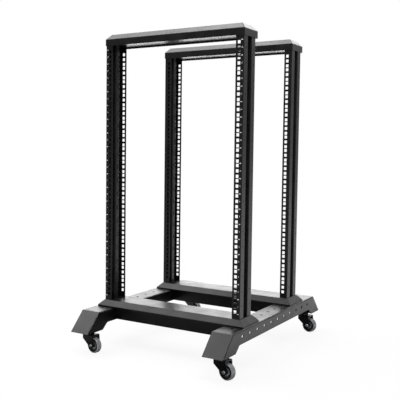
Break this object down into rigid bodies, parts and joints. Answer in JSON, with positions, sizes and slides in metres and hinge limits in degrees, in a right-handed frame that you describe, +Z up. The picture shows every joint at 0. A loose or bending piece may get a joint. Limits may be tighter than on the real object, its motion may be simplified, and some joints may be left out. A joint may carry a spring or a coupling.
{
  "type": "open-frame equipment rack on casters",
  "caption": "Open four-post equipment rack: folded steel posts with square holes, bevelled caps and base pans, two floor rails and swivel casters.",
  "frame": {"origin": "on the floor, midway between the two floor rails and midway between their ends", "axes": "+X to the right seen from the front, +Y from the front frame to the rear frame, +Z up"},
  "size_m": [0.5592, 0.736, 1.0166],
  "materials": {
    "black_powder_coat": "semi-gloss powder coat",
    "fork_enamel": "gloss black enamel",
    "zinc_plated_steel": "zinc plated",
    "hub_nylon": "moulded",
    "tread_polyurethane": "smooth polyurethane"
  },
  "bodies": {
    "rack_frame": {"front_base_pan": "black_powder_coat", "front_cap_channel": "black_powder_coat", "front_cross_channel": "black_powder_coat", "front_left_caster_stem": "zinc_plated_steel", "front_left_foot_plate": "black_powder_coat", "front_left_post": "black_powder_coat", "front_right_caster_stem": "zinc_plated_steel", "front_right_foot_plate": "black_powder_coat", "front_right_post": "black_powder_coat", "front_top_cap": "black_powder_coat", "left_rail": "black_powder_coat", "rear_base_pan": "black_powder_coat", "rear_cap_channel": "black_powder_coat", "rear_cross_channel": "black_powder_coat", "rear_left_caster_stem": "zinc_plated_steel", "rear_left_foot_plate": "black_powder_coat", "rear_left_post": "black_powder_coat", "rear_right_caster_stem": "zinc_plated_steel", "rear_right_foot_plate": "black_powder_coat", "rear_right_post": "black_powder_coat", "rear_top_cap": "black_powder_coat", "right_rail": "black_powder_coat"},
    "front_left_swivel": {"front_left_caster_fork": "fork_enamel", "front_left_caster_axle": "zinc_plated_steel"},
    "front_left_wheel": {"front_left_caster_hub": "hub_nylon", "front_left_caster_tyre": "tread_polyurethane"},
    "front_right_swivel": {"front_right_caster_fork": "fork_enamel", "front_right_caster_axle": "zinc_plated_steel"},
    "front_right_wheel": {"front_right_caster_hub": "hub_nylon", "front_right_caster_tyre": "tread_polyurethane"},
    "rear_left_swivel": {"rear_left_caster_fork": "fork_enamel", "rear_left_caster_axle": "zinc_plated_steel"},
    "rear_left_wheel": {"rear_left_caster_hub": "hub_nylon", "rear_left_caster_tyre": "tread_polyurethane"},
    "rear_right_swivel": {"rear_right_caster_fork": "fork_enamel", "rear_right_caster_axle": "zinc_plated_steel"},
    "rear_right_wheel": {"rear_right_caster_hub": "hub_nylon", "rear_right_caster_tyre": "tread_polyurethane"}
  },
  "joints": [
    {"name": "front_left_caster_swivel", "type": "hinge", "parent": "rack_frame", "child": "front_left_swivel", "pos_m": [-0.2385, -0.314, 0.06], "axis": [0, 0, 1], "continuous": true},
    {"name": "front_left_wheel_spin", "type": "hinge", "parent": "front_left_swivel", "child": "front_left_wheel", "pos_m": [-0.21671, -0.31706, 0.025], "axis": [0.1392, 0.9903, 0], "continuous": true},
    {"name": "front_right_caster_swivel", "type": "hinge", "parent": "rack_frame", "child": "front_right_swivel", "pos_m": [0.2385, -0.314, 0.06], "axis": [0, 0, 1], "continuous": true},
    {"name": "front_right_wheel_spin", "type": "hinge", "parent": "front_right_swivel", "child": "front_right_wheel", "pos_m": [0.26029, -0.31706, 0.025], "axis": [0.1392, 0.9903, 0], "continuous": true},
    {"name": "rear_left_caster_swivel", "type": "hinge", "parent": "rack_frame", "child": "rear_left_swivel", "pos_m": [-0.2385, 0.314, 0.06], "axis": [0, 0, 1], "continuous": true},
    {"name": "rear_left_wheel_spin", "type": "hinge", "parent": "rear_left_swivel", "child": "rear_left_wheel", "pos_m": [-0.21671, 0.31094, 0.025], "axis": [0.1392, 0.9903, 0], "continuous": true},
    {"name": "rear_right_caster_swivel", "type": "hinge", "parent": "rack_frame", "child": "rear_right_swivel", "pos_m": [0.2385, 0.314, 0.06], "axis": [0, 0, 1], "continuous": true},
    {"name": "rear_right_wheel_spin", "type": "hinge", "parent": "rear_right_swivel", "child": "rear_right_wheel", "pos_m": [0.26029, 0.31094, 0.025], "axis": [0.1392, 0.9903, 0], "continuous": true}
  ]
}
